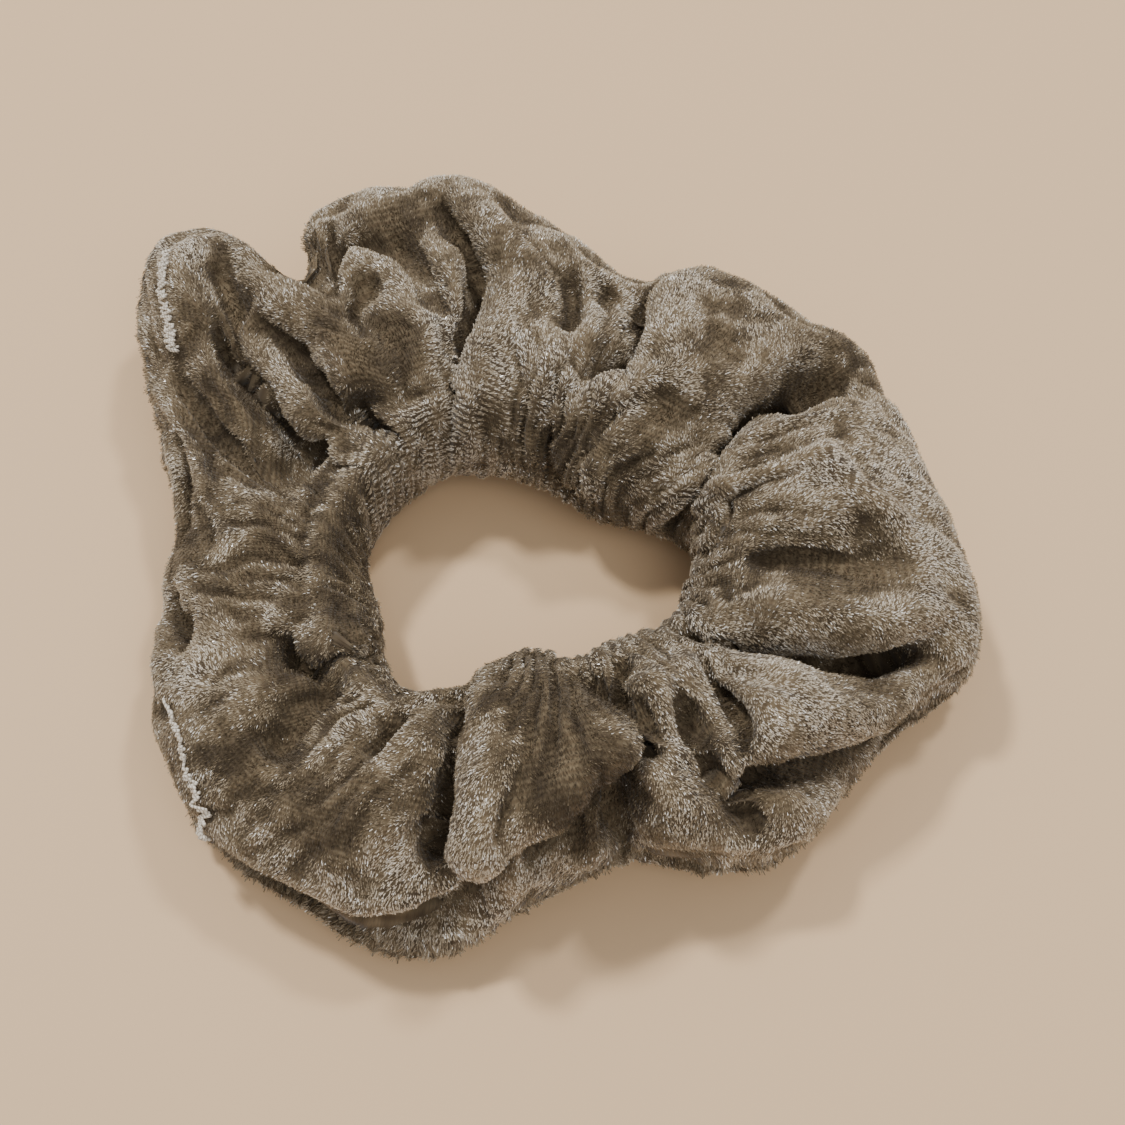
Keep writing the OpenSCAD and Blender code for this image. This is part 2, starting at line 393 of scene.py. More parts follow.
# The gathering is simulated at ten times the size, where the cloth solver is steadier.
simulation = {
    "times": 10,
    "frames": 14,
    "hold": 0.3,  # how firmly each point stays by its place
    "holdAtElastic": 0.5,
    "elasticReach": 50,  # degrees of v from the hole side over which the firmer hold fades
    "grow": 0.06,  # how much the velvet has to spare once the elastic draws it up
    "stiffness": 15,
    "shear": 5,
    "bending": 4,
    "damping": 5,
    "airDamping": 2,
    "mass": 0.3,
    "tableHalf": 3,
    "tableGap": 0.004,
    "layerGap": 0.006,
    "cap": 1.6,  # the furthest that a point may move, in mm
}


def gathered(grid):
    n, m, _ = grid.shape
    times = simulation["times"]
    rows, columns = np.arange(n), np.arange(m)
    faces = [(a * m + b, ((a + 1) % n) * m + b, ((a + 1) % n) * m + (b + 1) % m, a * m + (b + 1) % m)
             for a in rows for b in columns]
    cloth = meshPiece("gathering", grid.reshape(-1, 3) * mm * times, faces)
    v = np.tile(columns * 360 / m, n)
    firmer = np.exp(-((v - 180) / simulation["elasticReach"]) ** 2)
    hold = simulation["hold"] + (simulation["holdAtElastic"] - simulation["hold"]) * firmer
    group = cloth.vertex_groups.new(name="hold")
    for k, amount in enumerate(hold):
        group.add([k], float(amount), "REPLACE")
    table = squareSheet("table", simulation["tableHalf"])
    table.modifiers.new("collision", "COLLISION")
    table.collision.thickness_outer = simulation["tableGap"]
    modifier = cloth.modifiers.new("cloth", "CLOTH")
    settings, touch = modifier.settings, modifier.collision_settings
    settings.quality = 4
    settings.mass = simulation["mass"]
    settings.tension_stiffness = settings.compression_stiffness = simulation["stiffness"]
    settings.shear_stiffness = simulation["shear"]
    settings.bending_stiffness = simulation["bending"]
    settings.tension_damping = settings.compression_damping = settings.shear_damping = simulation["damping"]
    settings.air_damping = simulation["airDamping"]
    settings.vertex_group_mass = "hold"
    settings.pin_stiffness = 1
    settings.shrink_min = settings.shrink_max = -simulation["grow"]
    settings.effector_weights.gravity = 0
    touch.distance_min = simulation["tableGap"]
    touch.use_self_collision = True
    touch.self_distance_min = simulation["layerGap"]
    touch.collision_quality = 3
    modifier.point_cache.frame_end = simulation["frames"]
    for step in range(1, simulation["frames"] + 1):
        bpy.context.scene.frame_set(step)
    shown = cloth.evaluated_get(bpy.context.evaluated_depsgraph_get())
    moved = np.empty(n * m * 3)
    shown.data.vertices.foreach_get("co", moved)
    bpy.context.scene.frame_set(1)
    bpy.data.objects.remove(cloth)
    bpy.data.objects.remove(table)
    step = moved.reshape(n, m, 3) / (mm * times) - grid
    size = np.linalg.norm(step, axis=2, keepdims=True) + 1e-9
    print("furthest move of the velvet", round(float(size.max()), 1), "mm")
    return grid + step * (np.tanh(size / simulation["cap"]) * simulation["cap"] / size)


coverGrid = gathered(coverGrid)
print("cover gathered on its elastic")
coverGrid = keepClear(pressCreases(finer(coverGrid), **secondPress))


# The point of a grid that closes on itself both ways, at a place between its rows and its columns.
def gridAt(grid, row, column):
    n, m, _ = grid.shape
    a, b = np.floor(row).astype(int), np.floor(column).astype(int)
    f, g = (row - a)[:, None], (column - b)[:, None]
    near = grid[a % n, b % m] * (1 - f) + grid[(a + 1) % n, b % m] * f
    far = grid[a % n, (b + 1) % m] * (1 - f) + grid[(a + 1) % n, (b + 1) % m] * f
    return near * (1 - g) + far * g


# The long seam at v = 0: a groove between two puckered lips.
seam = {
    "groove": 0.5,
    "lip": 0.4,
    "pucker": 4.3,  # rows from one pucker to the next
    "uneven": 0.6,  # how much the puckers raise and lower the lips
    "gap": 0.15,
    "turnIn": [6, 11, 15],  # columns of the walls that each allowance lies between, from the seam inwards
    "spread": 0.06,  # how far it lies from halfway, as a share of the way to its own wall
}


def pressSeam(grid):
    normal = frameOf(grid)[2]
    row = np.arange(len(grid))
    lip = seam["lip"] * (1 + seam["uneven"] * np.sin(row * 2 * np.pi / seam["pucker"]))[:, None]
    pressed = grid.copy()
    pressed[:, 0] -= normal[:, 0] * seam["groove"]
    pressed[:, 1] += normal[:, 1] * lip
    pressed[:, -1] += normal[:, -1] * lip
    return keepClear(pressed)


# The strip of velvet with its seam open, and both allowances turned in to lie halfway between the walls.
def openAtSeam(grid):
    edge, up = grid[:, 0], np.array([0, 0, seam["gap"]])
    upper, lower = [edge + up], [edge - up]
    for column in seam["turnIn"]:
        halfway, aside = (grid[:, column] + grid[:, -column]) / 2, (grid[:, column] - grid[:, -column]) / 2
        upper.insert(0, halfway + aside * seam["spread"])
        lower.append(halfway - aside * seam["spread"])
    return np.stack(upper + list(grid[:, 1:].swapaxes(0, 1)) + lower, 1)


def clothPiece(name, grid):
    n, m, _ = grid.shape
    corners = [(a, b) for a in range(n) for b in range(m - 1)]
    faces = [(a * m + b, (a + 1) % n * m + b, (a + 1) % n * m + b + 1, a * m + b + 1) for a, b in corners]
    piece = meshPiece(name, grid.reshape(-1, 3) * mm + ringMiddle, faces)
    length, width = cover["cut"][1] / mm / n, cover["girth"] / cover["across"] / 2
    layer = piece.data.uv_layers.new(name="knit_mm")
    flat = np.array([[(a, b), (a + 1, b), (a + 1, b + 1), (a, b + 1)] for a, b in corners]) * (length, width)
    layer.data.foreach_set("uv", flat.ravel())
    return piece


coverGrid = pressSeam(coverGrid)
velvetCover = clothPiece("velvet_cover", openAtSeam(coverGrid))
print("velvet cover", len(velvetCover.data.polygons), "faces")

# Sizes of the knit in mm: its ribs, its loops, the patches where it is crushed, and how high its ribs stand.
knit = {"rib": 0.7, "loop": 0.7, "crush": 6.25, "relief": 0.2}


# The scale of a wave texture whose bands along one axis are this far apart.
def bandsApart(size):
    return math.pi / 10 / size


# The knit under the pile: ribs of loops along the tube, with painted shade between them, and matt brown bare
# spots.
def knitGround():
    material, tree = newMaterial("crushed_velvet_knit_ground")
    place = addNode(tree, "ShaderNodeUVMap", uv_map="knit_mm")
    rib = addNode(tree, "ShaderNodeTexWave", {"Vector": place.outputs[0]}, bands_direction="Y",
                  Scale=bandsApart(knit["rib"]), Distortion=1.2, Detail=2, Detail_Scale=1.5)
    loop = addNode(tree, "ShaderNodeTexWave", {"Vector": place.outputs[0]}, bands_direction="X",
                   Scale=bandsApart(knit["loop"]), Distortion=2, Detail=2, Detail_Scale=2)
    crush = addNode(tree, "ShaderNodeTexNoise", {"Vector": place.outputs[0]}, Scale=1 / knit["crush"],
                    Detail=5, Roughness=0.6)
    color = addNode(tree, "ShaderNodeValToRGB", {0: crush.outputs[0]})
    setRamp(color, [(0.38, "473b29"), (0.62, "7c6e57")])
    # Painted shade between the ribs: the rib wave multiplies the colour by a darker tone.
    shade = addNode(tree, "ShaderNodeMix", {0: rib.outputs[0], 6: color.outputs[0]}, data_type="RGBA",
                    blend_type="MULTIPLY")
    shade.inputs[7].default_value = linearColor("d6cec5")
    height = addNode(tree, "ShaderNodeMath", {0: rib.outputs[0], 1: loop.outputs[0]}, operation="ADD")
    bump = addNode(tree, "ShaderNodeBump", {"Height": height.outputs[0]}, Strength=0.45,
                   Distance=knit["relief"] * mm)
    surface = {"Base Color": shade.outputs[2], "Normal": bump.outputs[0]}
    shader = addNode(tree, "ShaderNodeBsdfPrincipled", surface, Roughness=0.85, Sheen_Weight=0.2,
                     Sheen_Roughness=0.5)
    addNode(tree, "ShaderNodeOutputMaterial", {"Surface": shader.outputs[0]})
    return material


velvetCover.data.materials.append(knitGround())
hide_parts("cover_front", "cover_back", "cover_left", "cover_right")
blendToLoop(velvetCover)

# The pile stands on the knit in small tufts, which crushing has laid over in patches. Upright tufts get
# darker colours as painted shade, laid ones lighter, silvery colours as painted sheen. Real fibres are too
# fine to draw: each tuft stands for a few. Lengths are in mm.
pile = {
    "count": 640000,
    "seed": 11,
    "length": (0.25, 0.6),
    "width": 0.15,
    "lowest": 0.02,  # height of the lowest tips over the table
    "below": 0.6,  # how dense it is on the underside
    "toRib": (0.05, 0.45),  # how far each tuft moves to the middle of its rib, outside and by the hole
    "byHole": (170, 45),  # the angle v where the ribs show most, and how far that fades
    "crush": 9,  # size of the crushed patches
    "flat": 0.47,  # how flat the pile lies on average, from 0 for standing to 1 for laid over
    "lumps": [(1.2, 0.5, 3), (0.4, 0.4, 4), (0.15, 0.3, 5)],  # size in patches, strength and seed
    # Ridges also get lighter tuft colours as painted highlight, and creases darker ones as painted shade.
    "ridgeLayAndPaintedLight": 0.5,  # how much flatter it lies on ridges
    "ridge": (2.5, -1, 0.6),  # how fast a ridge counts as one, and the limits for a crease and a ridge
    "mottle": 0.21,  # how much the shade of single tufts varies
    # The shades run from painted shade on standing pile to painted sheen on laid pile.
    "shades": [0.1, 0.4, 0.68, 0.95],  # flatness at which one shade gives way to the next
    "tilt": (36, 46, 8),  # degrees from upright, degrees more when laid over, and how much these vary
    "swirl": (1.6, 0.8),  # how far the lay turns over a patch, and within it
    "droop": 0.5,
    "stray": 0.12,
    "turned": 0.35,
    "brush": 1.2,  # from the seam, where the cut edges stand up like a brush
    "brushTone": 0.45,
    "brushLonger": 0.9,
    "brushClumps": (2.6, 0.5),  # rows from one clump to the next, and how much the tufts lean to it
    "creaseShorter": 0.2,
    # Painted glints: a share of laid tufts gets the near-white glint colour.
    "glint": (0.07, 0.3, 1.8),  # share of laid tufts that sparkle, how much more in spots, and their size
    "sheenSpots": 2.5,
    # angle u, angle v, reach and strength: below 0 where the pile stands, with darker colours as painted
    # shade, above 0 where it lies flat, with lighter colours as painted sheen
    "patches": [
        (-84, 90, 8, -0.8), (-78, 66, 8, -0.8), (-87, 62, 8, -0.8), (-121, 54, 6, -0.7),
        (-173, 78, 4, -0.7), (-141, 68, 5, -0.8), (101, 70, 5, -0.7), (110, 58, 5, -0.7),
        (-64, 104, 5, -0.7), (-72, 102, 5, -0.7), (4, 76, 4, -0.7), (-160, 136, 4, -0.7),
        (-54, 48, 6, -0.7), (-20, 108, 4, -0.6), (152, 64, 5, -0.8), (52, 150, 6, -0.7),
        (75, 160, 6, -0.7), (170, 150, 6, -0.7), (143, 62, 6, -0.8), (146, 86, 6, -0.8),
        (138, 84, 5, -0.6), (126, 96, 6, -0.7), (122, 120, 6, -0.5), (50, 92, 8, -0.4),
        (44, 122, 7, -0.35), (104, 92, 8, -0.35), (30, 70, 6, -0.3), (-8, 90, 6, -0.4),
        (-40, 60, 5, -0.4), (-110, 80, 5, -0.5), (-148, 110, 6, -0.5), (178, 40, 5, -0.4),
        (14, 90, 5, 0.4), (9, 84, 5, 0.4), (68, 112, 5, 0.4), (80, 98, 5, 0.4), (-32, 72, 7, 0.4),
        (-28, 54, 7, 0.4), (87, 140, 4, 0.4), (109, 92, 5, 0.4), (111, 112, 4, 0.4), (-83, 46, 4, 0.4),
        (-65, 46, 5, 0.4), (-112, 44, 6, 0.4), (-127, 86, 6, 0.4), (164, 74, 6, 0.4), (-168, 98, 6, 0.4),
        (-157, 64, 7, 0.5), (0, 50, 5, 0.4), (136, 66, 3, 0.3), (-91, 54, 4, 0.4),
    ],
}


def scatter(random, grid, normal):
    cell = np.linalg.norm(np.cross(np.roll(grid, -1, 0) - grid, np.roll(grid, -1, 1) - grid), axis=2)
    cell = cell * np.where(normal[..., 2] < -0.6, pile["below"], 1)
    total = np.cumsum(cell.ravel())
    pick = np.searchsorted(total, random.random(pile["count"]) * total[-1])
    row = pick // grid.shape[1] + random.random(pile["count"])
    column = pick % grid.shape[1] + random.random(pile["count"])
    ribs = cover["girth"] / knit["rib"] / grid.shape[1]  # for each column
    byHole = np.exp(-((column / grid.shape[1] * 360 - pile["byHole"][0]) / pile["byHole"][1]) ** 2)
    toRib = pile["toRib"][0] + (pile["toRib"][1] - pile["toRib"][0]) * byHole
    column += (np.round(column * ribs) / ribs - column) * toRib
    return row, column


# How flat the pile lies at each root: near 0 it stands, near 1 it is laid over. The same number picks each
# tuft's colour, so it also sets the painted shade and sheen.
def laidOver(root, ridge):
    flat = pile["flat"] + pile["ridgeLayAndPaintedLight"] * ridge
    for size, strength, seed in pile["lumps"]:
        flat += strength * lumps(root, pile["crush"] * size, seed)
    n, m, _ = coverGrid.shape
    for u, v, reach, strength in pile["patches"]:
        middle = gridAt(coverGrid, np.array([u % 360 / 360 * n]), np.array([v / 360 * m]))
        away = np.sum((root - middle) ** 2, 1) / reach ** 2
        flat += strength * np.exp(-away * 1.5)
    return flat


def growPile(random):
    n, m, _ = coverGrid.shape
    tangentU, tangentV, normals = frameOf(coverGrid)
    row, column = scatter(random, coverGrid, normals)
    root = gridAt(coverGrid, row, column)
    normal = unit(gridAt(normals, row, column))
    along = unit(gridAt(tangentU, row, column))
    # Ridges and creases: ridges get lighter colours as painted highlight, creases darker ones as painted
    # shade, and shorter tufts.
    blurred = sum(np.roll(coverGrid, (a, b), (0, 1)) for a in (-4, 0, 4) for b in (-2, 0, 2)) / 9
    rise, deepest, highest = pile["ridge"]
    ridge = np.clip(np.sum((coverGrid - blurred) * normals, 2, keepdims=True) * rise, deepest, highest)
    ridge = gridAt(ridge, row, column)[:, 0]
    flat = laidOver(root, ridge)
    fromSeam = (np.mod(column + m / 2, m) - m / 2) * cover["girth"] / m
    brush = np.exp(-(fromSeam / pile["brush"]) ** 2)
    # Each tuft's colour: painted sheen where it lies flat, painted shade where it stands, and random mottle.
    sheenShadeAndMottle = flat * (1 - brush) + pile["brushTone"] * brush + random.normal(0, pile["mottle"], len(root))
    flat = flat * (1 - brush)
    away = unit(root * [1, 1, 0])
    whole, within = pile["swirl"]
    swirl = whole * lumps(root, pile["crush"], 1) + within * lumps(root, pile["crush"] * 0.4, 2)
    lay = away * np.cos(swirl)[:, None] + np.cross([0, 0, 1], away) * np.sin(swirl)[:, None]
    lay = lay - [0, 0, pile["droop"]]
    lay = unit(lay - normal * np.sum(lay * normal, 1)[:, None])
    upright, more, varied = pile["tilt"]
    tilt = np.radians(upright + more * np.clip(flat, 0, 1) + random.normal(0, varied, len(root)))[:, None]
    direction = normal * np.cos(tilt) + lay * np.sin(tilt) + random.normal(0, pile["stray"], root.shape)
    pitch, lean = pile["brushClumps"]
    clump = np.sin(row * 2 * np.pi / pitch)[:, None]
    direction = unit(direction + along * clump * lean * brush[:, None])
    across = unit(np.cross(direction, normal) + random.normal(0, pile["turned"], root.shape))
    length = random.uniform(*pile["length"], len(root)) * (1 + pile["brushLonger"] * brush)
    length = length * (1 + pile["creaseShorter"] * np.minimum(ridge, 0))
    shade = np.digitize(sheenShadeAndMottle, pile["shades"])
    # Painted glints: some laid tufts get the near-white glint colour instead of their own.
    share, inSpots, spot = pile["glint"]
    sparkle = np.clip(flat, 0, 1) * (share + inSpots * np.clip(lumps(root, spot, 7), 0, 1))
    shade[(random.random(len(root)) < sparkle) & (shade > 0)] = len(pile["shades"]) + 1
    return root, direction, across, length, shade


# Each tuft is one thin triangle: wide at its root, or blunt with a point at its root.
def tuftPiece(name, root, direction, across, length, shade, blunt, materials):
    half = across * pile["width"] / 2
    tip = root + direction * length[:, None]
    shape = np.stack([root - half, root + half, tip], 1)
    shape[blunt] = np.stack([root, tip + half, tip - half], 1)[blunt]
    shape[..., 2] = np.maximum(shape[..., 2], pile["lowest"])
    n = len(root)
    mesh = bpy.data.meshes.new(name)
    mesh.vertices.add(3 * n)
    mesh.vertices.foreach_set("co", (shape.reshape(-1, 3) * mm + ringMiddle).astype(np.float32).ravel())
    mesh.loops.add(3 * n)
    mesh.loops.foreach_set("vertex_index", np.arange(3 * n, dtype=np.int32))
    mesh.polygons.add(n)
    mesh.polygons.foreach_set("loop_start", np.arange(0, 3 * n, 3, dtype=np.int32))
    for material in materials:
        mesh.materials.append(material)
    mesh.polygons.foreach_set("material_index", shade.astype(np.int32))
    mesh.update(calc_edges=True)
    piece = bpy.data.objects.new(name, mesh)
    bpy.context.collection.objects.link(piece)
    return piece


# Brushed polyester pile of one shade: a soft body colour, which carries the painted sheen and shade of its
# tufts, with a sheen that comes and goes over spots of a few millimetres, as the fibres turn.
def pileFibre(name, hexText, roughness, sheen):
    material, tree = newMaterial(name)
    place = addNode(tree, "ShaderNodeTexCoord")
    spots = addNode(tree, "ShaderNodeTexNoise", {"Vector": place.outputs["Object"]},
                    Scale=1 / (pile["sheenSpots"] * mm), Detail=3)
    weight = addNode(tree, "ShaderNodeMapRange", {0: spots.outputs[0]}, To_Min=0.4 * sheen,
                     To_Max=1.6 * sheen)
    tint = addNode(tree, "ShaderNodeValToRGB", {0: spots.outputs[0]})
    setRamp(tint, [(0.35, "cfc0a8"), (0.65, "f4eee2")])
    surface = {"Sheen Weight": weight.outputs[0], "Sheen Tint": tint.outputs[0]}
    shader = addNode(tree, "ShaderNodeBsdfPrincipled", surface, Base_Color=linearColor(hexText),
                     Roughness=roughness, Sheen_Roughness=0.4)
    addNode(tree, "ShaderNodeOutputMaterial", {"Surface": shader.outputs[0]})
    return material


def makePile():
    random = np.random.default_rng(pile["seed"])
    root, direction, across, length, shade = growPile(random)
    blunt = random.random(len(root)) < 0.5
    # Six copies of one fibre colour, lit and shaded by paint: painted shade on standing pile, painted sheen
    # on laid pile, and a near-white painted glint.
    fibres = [
        pileFibre("pile_standing_painted_shade", "4b3f2e", 0.6, 0.15),
        pileFibre("pile_standing", "74664f", 0.55, 0.2),
        pileFibre("pile_leaning", "998b75", 0.5, 0.25),
        pileFibre("pile_laid", "b1a48f", 0.45, 0.25),
        pileFibre("pile_laid_painted_sheen", "d3c9b9", 0.4, 0.3),
        pileFibre("pile_painted_glint", "fffdf8", 0.15, 0.4),
    ]
    quarter = (root[:, 0] > np.median(root[:, 0])) + 2 * (root[:, 1] > np.median(root[:, 1]))
    pieces = []
    for k, name in enumerate(["pile_near_left", "pile_near_right", "pile_far_left", "pile_far_right"]):
        here = quarter == k
        shares = (values[here] for values in (root, direction, across, length, shade, blunt))
        piece = tuftPiece(name, *shares, fibres)
        blendToLoop(piece)
        pieces.append(piece)
        print(name, len(piece.data.polygons), "tufts")
    return pieces


pilePieces = makePile()


# A round thread or band along a path of points in mm. Its map holds mm along it, and turns round it.
def tube(name, path, section, closed):
    n, m = len(path), len(section)
    before, after = np.roll(path, 1, 0), np.roll(path, -1, 0)
    if not closed:
        before[0], after[-1] = path[0], path[-1]
    tangent = unit(after - before)
    outwards = unit(path * [1, 1, 0])
    side = unit(outwards - tangent * np.sum(outwards * tangent, 1)[:, None])
    up = np.cross(side, tangent)
    points = (path[:, None] + side[:, None] * section[None, :, :1] + up[:, None] * section[None, :, 1:])
    spans = n if closed else n - 1
    corners = [(a, b) for a in range(spans) for b in range(m)]
    faces = [(a * m + b, a * m + (b + 1) % m, (a + 1) % n * m + (b + 1) % m, (a + 1) % n * m + b)
             for a, b in corners]
    run = np.concatenate([[0], np.cumsum(np.linalg.norm(np.roll(path, -1, 0) - path, axis=1))])
    flat = [[(run[a], b / m), (run[a], (b + 1) / m), (run[a + 1], (b + 1) / m), (run[a + 1], b / m)]
            for a, b in corners]
    if not closed:
        faces += [tuple(range(m - 1, -1, -1)), tuple(range((n - 1) * m, n * m))]
        flat += [[(0, b / m) for b in range(m)], [(run[n - 1], b / m) for b in range(m)]]
    piece = meshPiece(name, points.reshape(-1, 3) * mm + ringMiddle, faces)
    layer = piece.data.uv_layers.new(name="along_mm")
    layer.data.foreach_set("uv", np.array([c for corner in flat for c in corner]).ravel())
    return piece


def roundSection(radius, sides=8):
    a = np.arange(sides) * 2 * np.pi / sides
    return np.stack([np.cos(a), np.sin(a)], 1) * radius


def smoothThrough(points, step):
    path = smoothPath(points, 12)
    run = np.concatenate([[0], np.cumsum(np.linalg.norm(np.diff(path, axis=0), axis=1))])
    at = np.linspace(0, run[-1], max(int(run[-1] / step), 8))
    return np.stack([np.interp(at, run, path[:, k]) for k in range(3)], 1)


# Spun polyester thread: plies wound round each other, so a slanting light and dark stripe, the dark part
# painted shade in the grooves between the plies.
def spunThread(name, dark, light, pitch):
    material, tree = newMaterial(name)
    place = addNode(tree, "ShaderNodeUVMap", uv_map="along_mm")
    part = addNode(tree, "ShaderNodeSeparateXYZ", {0: place.outputs[0]})
    turn = addNode(tree, "ShaderNodeMath", {0: part.outputs[0]}, operation="MULTIPLY")
    turn.inputs[1].default_value = 1 / pitch
    twist = addNode(tree, "ShaderNodeMath", {0: turn.outputs[0], 1: part.outputs[1]}, operation="ADD")
    ply = addNode(tree, "ShaderNodeMath", {0: twist.outputs[0]}, operation="PINGPONG")
    ply.inputs[1].default_value = 0.5
    # Painted shade: the ramp's dark end darkens the grooves between the plies.
    color = addNode(tree, "ShaderNodeValToRGB", {0: ply.outputs[0]})
    setRamp(color, [(0.05, dark), (0.3, light)])
    bump = addNode(tree, "ShaderNodeBump", {"Height": ply.outputs[0]}, Strength=0.7, Distance=0.08 * mm)
    surface = {"Base Color": color.outputs[0], "Normal": bump.outputs[0]}
    shader = addNode(tree, "ShaderNodeBsdfPrincipled", surface, Roughness=0.6, Sheen_Weight=0.2)
    addNode(tree, "ShaderNodeOutputMaterial", {"Surface": shader.outputs[0]})
    return material


twistPitch = 0.5  # mm from one turn of the plies to the next
brownThread = spunThread("spun_polyester_brown", "332a20", "75674f", twistPitch)
whiteThread = spunThread("spun_polyester_white", "a89f92", "f1ede4", twistPitch)

# The elastic band, whose ends overlap at the near side. Angles in degrees, lengths in mm.
band = {
    "start": 260,
    "turn": 380,
    "thick": 1.1,
    "growth": 1.6,  # how much its radius grows in one turn, so that its end lies outside its start
    "aside": 0.4,  # from the middle of its box to the middle of its spiral, in X and in Y
    "loose": 0.04,  # how far inside the outer edge of its box it stays
    "ribs": 8,
    "rib": 0.16,
    "braid": 1.25,
    "points": 191,
}
band["wide"] = (bandHigh[2] - bandLow[2]) / mm
band["inner"] = (bandHigh[0] - bandLow[0]) / 2 / mm - band["thick"] - band["growth"] / 2 - band["loose"]


def bandPath(turn, outwards, high):
    u = np.radians(band["start"] + turn)
    r = band["inner"] + band["growth"] * turn / 360 + outwards
    z = bandZ / mm + high + 0 * turn
    return np.stack([r * np.cos(u) + band["aside"], r * np.sin(u) + band["aside"], z], 1)


def bandSection():
    across = np.linspace(-1, 1, 6 * band["ribs"] + 1)
    rib = band["rib"] * (1 - np.abs(np.cos(across * band["ribs"] * np.pi / 2)))
    half = band["thick"] / 2 - rib
    high = across * band["wide"] / 2
    outer = np.stack([half, high], 1)
    inner = np.stack([-half, high], 1)[::-1]
    return np.concatenate([outer, inner])


# Braided elastic: dark ribs along its length, with the braid's slant across them.
def braidedElastic():
    material, tree = newMaterial("braided_polyester_elastic")
    place = addNode(tree, "ShaderNodeUVMap", uv_map="along_mm")
    slant = addNode(tree, "ShaderNodeMapping", {0: place.outputs[0]}, Scale=(1, 9, 1))
    braid = addNode(tree, "ShaderNodeTexWave", {"Vector": slant.outputs[0]}, bands_direction="DIAGONAL",
                    Scale=2 * bandsApart(band["braid"]), Distortion=0.6)
    color = addNode(tree, "ShaderNodeValToRGB", {0: braid.outputs[0]})
    setRamp(color, [(0.2, "1d1a18"), (0.8, "46403a")])
    bump = addNode(tree, "ShaderNodeBump", {"Height": braid.outputs[0]}, Strength=0.6, Distance=0.15 * mm)
    surface = {"Base Color": color.outputs[0], "Normal": bump.outputs[0]}
    shader = addNode(tree, "ShaderNodeBsdfPrincipled", surface, Roughness=0.7, Sheen_Weight=0.1)
    addNode(tree, "ShaderNodeOutputMaterial", {"Surface": shader.outputs[0]})
    return material


def finishPiece(piece, node, material):
    piece.data.materials.append(material)
    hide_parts(node)
    blendToLoop(piece)
    print(piece.name, len(piece.data.polygons), "faces")
    return piece


turns = np.linspace(0, band["turn"], band["points"])
elasticBand = tube("elastic_band", bandPath(turns, band["thick"] / 2, 0), bandSection(), False)
finishPiece(elasticBand, "elastic", braidedElastic())

# Hidden threads, with their stitches. Lengths in mm.
stitches = {
    "radius": 0.2,
    "pitch": 2.5,
    "joinTurn": (363, 377),  # degrees along the band where its two ends are joined
    "joinRows": 9,
    "joinOut": (-0.25, -0.15),  # from the inner face of the band's outer end, in turn
    "joinWide": 0.6,  # share of the band's width
    "longInside": 1,  # from the seam's edge
    "longWave": 0.45,
    "crossAt": 200,
    "crossFromTo": (20, 340),
    "crossInside": 0.8,
    "crossWave": 0.35,
}


def joinThread():
    turn = np.linspace(*stitches["joinTurn"], stitches["joinRows"])
    side = np.arange(len(turn)) % 2
    out = np.array(stitches["joinOut"])[side]
    corners = bandPath(turn, out, (side - 0.5) * band["wide"] * stitches["joinWide"])
    return smoothThrough(corners, 0.3)


def seamThread():
    edge = coverGrid[:, 0]
    inwards = unit(coverGrid.mean(1) - edge)
    run = np.concatenate([[0], np.cumsum(np.linalg.norm(np.diff(edge, axis=0), axis=1))])
    wave = np.sin(run * 2 * np.pi / stitches["pitch"])[:, None]
    return edge + inwards * stitches["longInside"] + np.array([0, 0, stitches["longWave"]]) * wave


def crossThread():
    n, m, _ = coverGrid.shape
    column = np.linspace(*stitches["crossFromTo"], 260) / 360 * m
    row = np.full(len(column), stitches["crossAt"] / 360 * n)
    wall = gridAt(coverGrid, row, column)
    normal = unit(gridAt(frameOf(coverGrid)[2], row, column))
    run = np.concatenate([[0], np.cumsum(np.linalg.norm(np.diff(wall, axis=0), axis=1))])
    wave = np.sin(run * 2 * np.pi / stitches["pitch"])[:, None]
    return wall - normal * (stitches["crossInside"] + stitches["crossWave"] * wave)


hidden = roundSection(stitches["radius"], 6)
elasticStitch = tube("elastic_stitch_thread", joinThread(), hidden, False)
finishPiece(elasticStitch, "elastic_stitch", whiteThread)
longSeam = tube("long_seam_lockstitch", seamThread(), hidden, True)
finishPiece(longSeam, "long_seam_thread", brownThread)
crossSeam = tube("cross_seam_lockstitch", crossThread(), hidden, False)
finishPiece(crossSeam, "cross_seam_thread", brownThread)

# The hand stitches that close the last stretches of the long seam. Each run follows points (u, v) over the
# velvet. Its zigzag has a pitch, and a width at each end, in mm.
closing = {
    "seed": 5,
    "radius": 0.19,
    "raise": 0.75,
    "raiseVaries": 0.25,
    "widthVaries": (0.5, 1.3),
    "pitchVaries": 0.35,
    "runs": [
        {"at": [(137, 40), (141, 45), (144, 46), (147, 42)], "wide": (1.6, 2), "pitch": 0.5},
        {"at": [(-157, 46), (-150, 49), (-147, 44), (-143, 38), (-141, 33), (-139, 25), (-139, 14)],
         "wide": (0.3, 2.1), "pitch": 0.6},
    ],
}


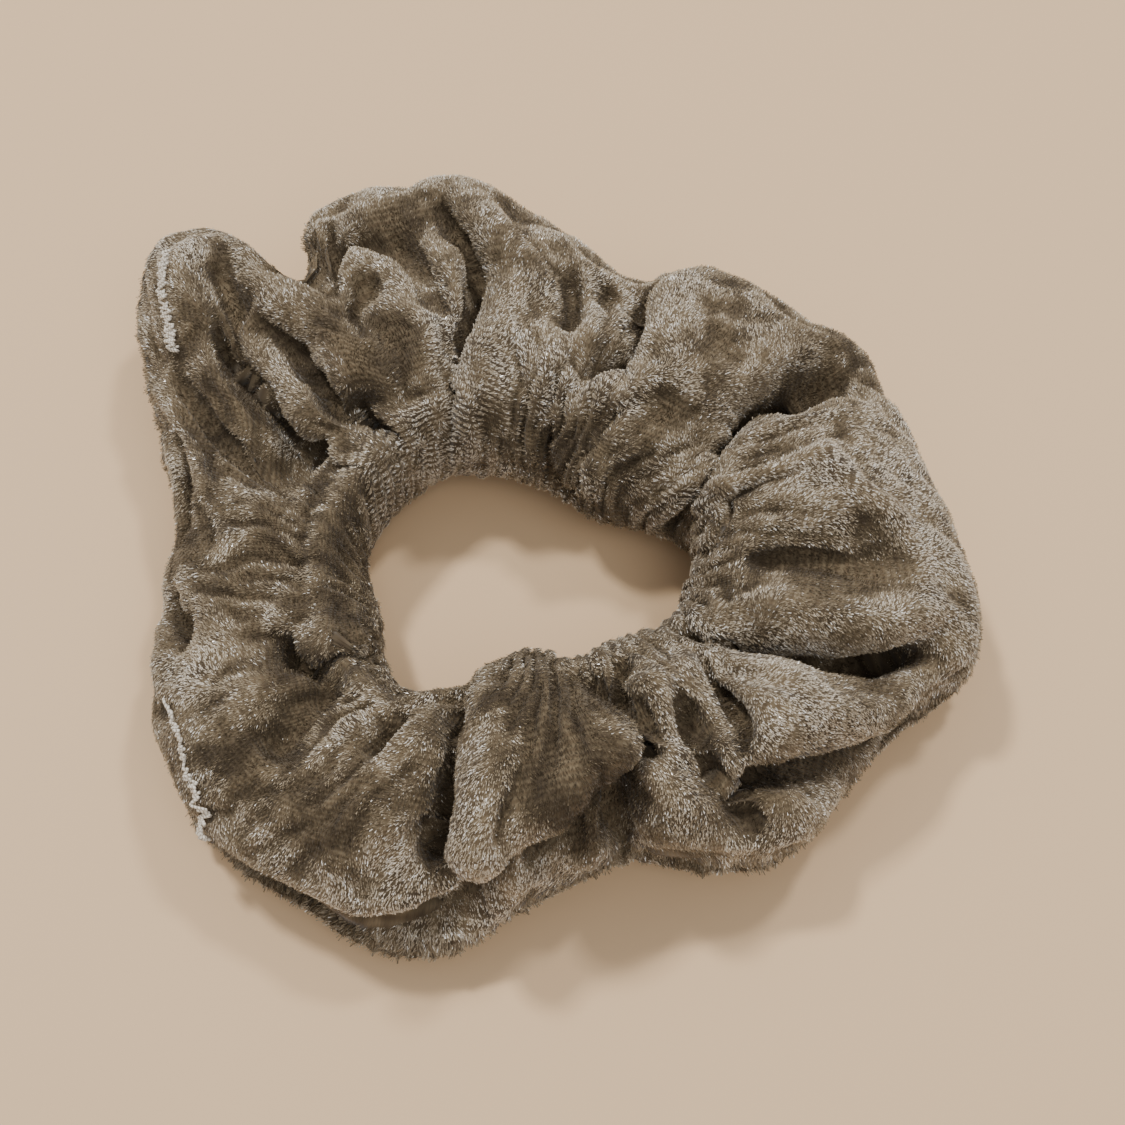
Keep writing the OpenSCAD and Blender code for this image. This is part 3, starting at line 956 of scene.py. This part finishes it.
def closingRun(run, random):
    n, m, _ = coverGrid.shape
    path = smoothPath(run["at"], 16)
    row, column = np.mod(path[:, 0], 360) / 360 * n, path[:, 1] / 360 * m
    wall = gridAt(coverGrid, row, column)
    normal = unit(gridAt(frameOf(coverGrid)[2], row, column))
    far = np.concatenate([[0], np.cumsum(np.linalg.norm(np.diff(wall, axis=0), axis=1))])
    at = np.arange(0, far[-1], run["pitch"] / 2)
    middle, up = (np.stack([np.interp(at, far, a[:, k]) for k in range(3)], 1) for a in (wall, normal))
    along = unit(np.gradient(middle, axis=0))
    wide = np.linspace(*run["wide"], len(at))
    side = np.where(np.arange(len(at)) % 2, 1, -1) * random.uniform(*closing["widthVaries"], len(at))
    lift = closing["raise"] + random.uniform(-closing["raiseVaries"], closing["raiseVaries"], len(at))
    corners = middle + unit(np.cross(up, along)) * (side * wide / 2)[:, None] + unit(up) * lift[:, None]
    return smoothThrough(corners + along * random.normal(0, closing["pitchVaries"], (len(at), 1)), 0.15)


sewing = np.random.default_rng(closing["seed"])
for k, run in enumerate(closing["runs"]):
    part = tube(f"closing_stitch_{k + 1}", closingRun(run, sewing), roundSection(closing["radius"]), False)
    finishPiece(part, "closing_stitch", whiteThread)

print("threads sewn")

# A matt pale floor, lit by small soft boxes and a light room. Each lamp has its place, size, power and
# colour, in metres and watts.
studio = {
    "floorHalf": 2,
    "floorColor": "e9c9a2",
    "lamps": {
        "key": ((-0.38, 0.38, 0.95), 0.12, 6.5, (1.0, 0.95, 0.87)),
        "second": ((0.35, 0.45, 0.95), 0.12, 4, (1.0, 0.95, 0.88)),
        "fill": ((0.3, -0.6, 0.9), 0.7, 3.5, (1.0, 0.97, 0.92)),
    },
    "roomColor": (1.0, 0.96, 0.92, 1),
    "roomStrength": 0.42,
}
floor = squareSheet("floor", studio["floorHalf"])
floorPaint, tree = newMaterial("matt_pale_board")
shader = addNode(tree, "ShaderNodeBsdfPrincipled", Base_Color=linearColor(studio["floorColor"]),
                 Roughness=0.6)
addNode(tree, "ShaderNodeOutputMaterial", {"Surface": shader.outputs[0]})
floor.data.materials.append(floorPaint)


def softBox(name, place, size, power, color):
    lamp = bpy.data.lights.new(name, "AREA")
    lamp.size = size
    lamp.energy = power
    lamp.color = color
    lampObject = bpy.data.objects.new(name, lamp)
    lampObject.location = place
    lampObject.rotation_euler = Vector(place).to_track_quat("Z", "Y").to_euler()
    bpy.context.collection.objects.link(lampObject)


for name, settings in studio["lamps"].items():
    softBox(name, *settings)
room = bpy.data.worlds.new("room")
room.use_nodes = True
room.node_tree.nodes["Background"].inputs["Color"].default_value = studio["roomColor"]
room.node_tree.nodes["Background"].inputs["Strength"].default_value = studio["roomStrength"]
bpy.context.scene.world = room
print("studio lit")
